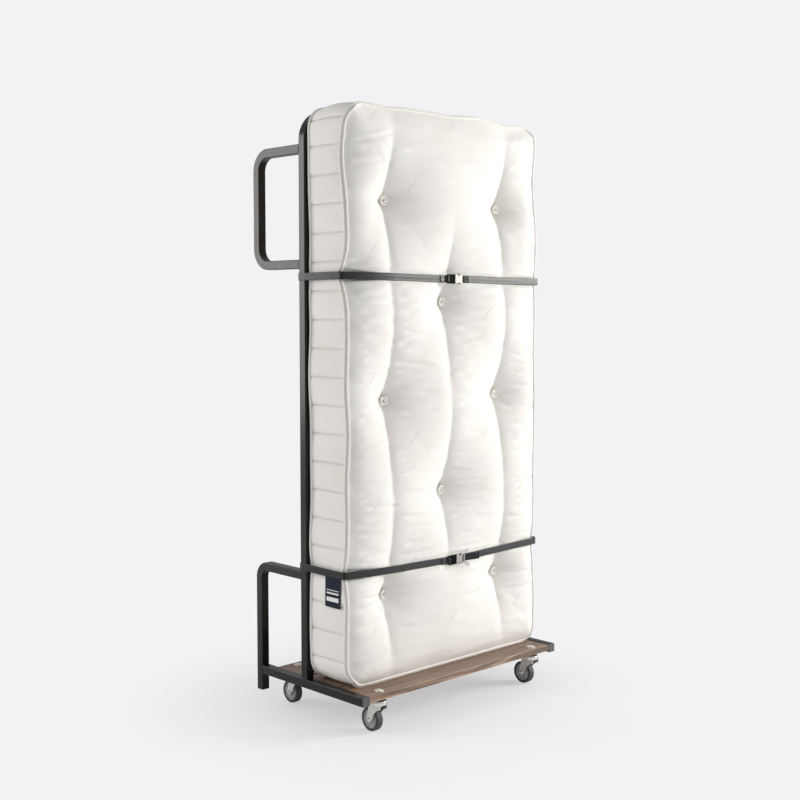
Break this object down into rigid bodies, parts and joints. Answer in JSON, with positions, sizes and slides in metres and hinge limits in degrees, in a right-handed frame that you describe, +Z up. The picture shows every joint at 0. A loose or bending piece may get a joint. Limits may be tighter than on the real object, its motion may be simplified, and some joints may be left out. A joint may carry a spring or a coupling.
{
  "type": "mobile guest bed",
  "caption": "Upright guest bed on a castor base: a tube hoop with loop legs, sprung slats, timber planks and a tufted mattress held by two buckled straps.",
  "frame": {"origin": "on the floor under the middle, as the bed stands upright on its castors", "axes": "+Z up, -Y towards the mattress's open face, +Y towards the legs' floor faces"},
  "size_m": [0.9646, 0.552, 2.0375],
  "materials": {
    "frame_paint": "charcoal powder coat, satin",
    "cap_plastic": "black moulded plastic",
    "stained_timber": "walnut stain, satin, grain lengthways",
    "beech_ply": "lacquered bent ply",
    "holder_plastic": "black moulded plastic",
    "zinc_plate": "bright zinc plate",
    "polished_steel": "polished",
    "spacer_rubber": "black rubber pad",
    "wheel_plastic": "grey moulded plastic",
    "tyre_rubber": "grey rubber, matt",
    "ticking": "cream cotton ticking, woven",
    "piping_cord": "cream bias-bound cord",
    "wool_felt": "needled wool pad",
    "spring_pocket": "spun pockets over coil springs",
    "tuft_wool": "felt tuft",
    "label_cloth": "navy woven cloth with plain pale stripes",
    "webbing": "black polypropylene webbing",
    "buckle_nickel": "nickel plated",
    "buckle_plastic": "black nylon"
  },
  "bodies": {
    "bed": {"bed_slats": "beech_ply", "castor_bearing_balls": "polished_steel", "castor_bolts": "zinc_plate", "castor_nuts": "zinc_plate", "castor_spacers": "spacer_rubber", "castor_top_cups": "zinc_plate", "castor_washers": "zinc_plate", "foot_cross_rail": "frame_paint", "front_plank": "stained_timber", "left_base_rail": "frame_paint", "left_foot_leg": "frame_paint", "left_head_leg": "frame_paint", "lower_buckle_socket": "buckle_nickel", "lower_strap": "webbing", "main_hoop": "frame_paint", "mattress_cover": "ticking", "mattress_front_filling": "wool_felt", "mattress_label": "label_cloth", "mattress_piping": "piping_cord", "mattress_rear_filling": "wool_felt", "mattress_spring_strings": "spring_pocket", "mattress_tufts": "tuft_wool", "middle_cross_rail": "frame_paint", "middle_plank": "stained_timber", "plank_ledges": "frame_paint", "plank_screws": "zinc_plate", "rear_plank": "stained_timber", "right_base_rail": "frame_paint", "right_foot_leg": "frame_paint", "right_head_leg": "frame_paint", "slat_holders": "holder_plastic", "strap_tails": "webbing", "tube_end_caps": "cap_plastic", "upper_buckle_socket": "buckle_nickel", "upper_strap": "webbing"},
    "front_left_castor": {"front_left_fork": "zinc_plate", "front_left_axle": "zinc_plate"},
    "front_left_wheel": {"front_left_hub": "wheel_plastic", "front_left_tyre": "tyre_rubber"},
    "front_right_castor": {"front_right_fork": "zinc_plate", "front_right_axle": "zinc_plate"},
    "front_right_wheel": {"front_right_hub": "wheel_plastic", "front_right_tyre": "tyre_rubber"},
    "rear_left_castor": {"rear_left_fork": "zinc_plate", "rear_left_axle": "zinc_plate"},
    "rear_left_wheel": {"rear_left_hub": "wheel_plastic", "rear_left_tyre": "tyre_rubber"},
    "rear_right_castor": {"rear_right_fork": "zinc_plate", "rear_right_axle": "zinc_plate"},
    "rear_right_wheel": {"rear_right_hub": "wheel_plastic", "rear_right_tyre": "tyre_rubber"},
    "upper_plug": {"upper_buckle_plug": "buckle_plastic", "upper_strap_keeper": "webbing"},
    "upper_top_prong": {"upper_buckle_top_prong": "buckle_plastic"},
    "upper_bottom_prong": {"upper_buckle_bottom_prong": "buckle_plastic"},
    "lower_plug": {"lower_buckle_plug": "buckle_plastic", "lower_strap_keeper": "webbing"},
    "lower_top_prong": {"lower_buckle_top_prong": "buckle_plastic"},
    "lower_bottom_prong": {"lower_buckle_bottom_prong": "buckle_plastic"}
  },
  "joints": [
    {"name": "front_left_swivel", "type": "hinge", "parent": "bed", "child": "front_left_castor", "pos_m": [-0.382, -0.244, 0.1], "axis": [0, 0, 1], "continuous": true},
    {"name": "front_left_roll", "type": "hinge", "parent": "front_left_castor", "child": "front_left_wheel", "pos_m": [-0.382, -0.212, 0.04], "axis": [1, 0, 0], "continuous": true},
    {"name": "front_right_swivel", "type": "hinge", "parent": "bed", "child": "front_right_castor", "pos_m": [0.382, -0.244, 0.1], "axis": [0, 0, 1], "continuous": true},
    {"name": "front_right_roll", "type": "hinge", "parent": "front_right_castor", "child": "front_right_wheel", "pos_m": [0.382, -0.212, 0.04], "axis": [1, 0, 0], "continuous": true},
    {"name": "rear_left_swivel", "type": "hinge", "parent": "bed", "child": "rear_left_castor", "pos_m": [-0.382, 0.169, 0.1], "axis": [0, 0, 1], "continuous": true},
    {"name": "rear_left_roll", "type": "hinge", "parent": "rear_left_castor", "child": "rear_left_wheel", "pos_m": [-0.382, 0.201, 0.04], "axis": [1, 0, 0], "continuous": true},
    {"name": "rear_right_swivel", "type": "hinge", "parent": "bed", "child": "rear_right_castor", "pos_m": [0.382, 0.169, 0.1], "axis": [0, 0, 1], "continuous": true},
    {"name": "rear_right_roll", "type": "hinge", "parent": "rear_right_castor", "child": "rear_right_wheel", "pos_m": [0.382, 0.201, 0.04], "axis": [1, 0, 0], "continuous": true},
    {"name": "upper_buckle_release", "type": "slide", "parent": "bed", "child": "upper_plug", "axis": [-1, 0, 0], "range_m": [0, 0.028]},
    {"name": "upper_top_squeeze", "type": "hinge", "parent": "upper_plug", "child": "upper_top_prong", "pos_m": [0.0175, -0.195, 1.491], "axis": [0, 1, 0], "range_deg": [0, 6], "stiffness_Nm_per_rad": 0.05},
    {"name": "upper_bottom_squeeze", "type": "hinge", "parent": "upper_plug", "child": "upper_bottom_prong", "pos_m": [0.0175, -0.195, 1.473], "axis": [0, -1, 0], "range_deg": [0, 6], "stiffness_Nm_per_rad": 0.05},
    {"name": "lower_buckle_release", "type": "slide", "parent": "bed", "child": "lower_plug", "axis": [-1, 0, 0], "range_m": [0, 0.028]},
    {"name": "lower_top_squeeze", "type": "hinge", "parent": "lower_plug", "child": "lower_top_prong", "pos_m": [0.0285, -0.195, 0.517], "axis": [0, 1, 0], "range_deg": [0, 6], "stiffness_Nm_per_rad": 0.05},
    {"name": "lower_bottom_squeeze", "type": "hinge", "parent": "lower_plug", "child": "lower_bottom_prong", "pos_m": [0.0285, -0.195, 0.499], "axis": [0, -1, 0], "range_deg": [0, 6], "stiffness_Nm_per_rad": 0.05}
  ],
  "couplings": [
    {"joint": "upper_bottom_squeeze", "follows": "upper_top_squeeze", "ratio": 1},
    {"joint": "lower_bottom_squeeze", "follows": "lower_top_squeeze", "ratio": 1}
  ]
}
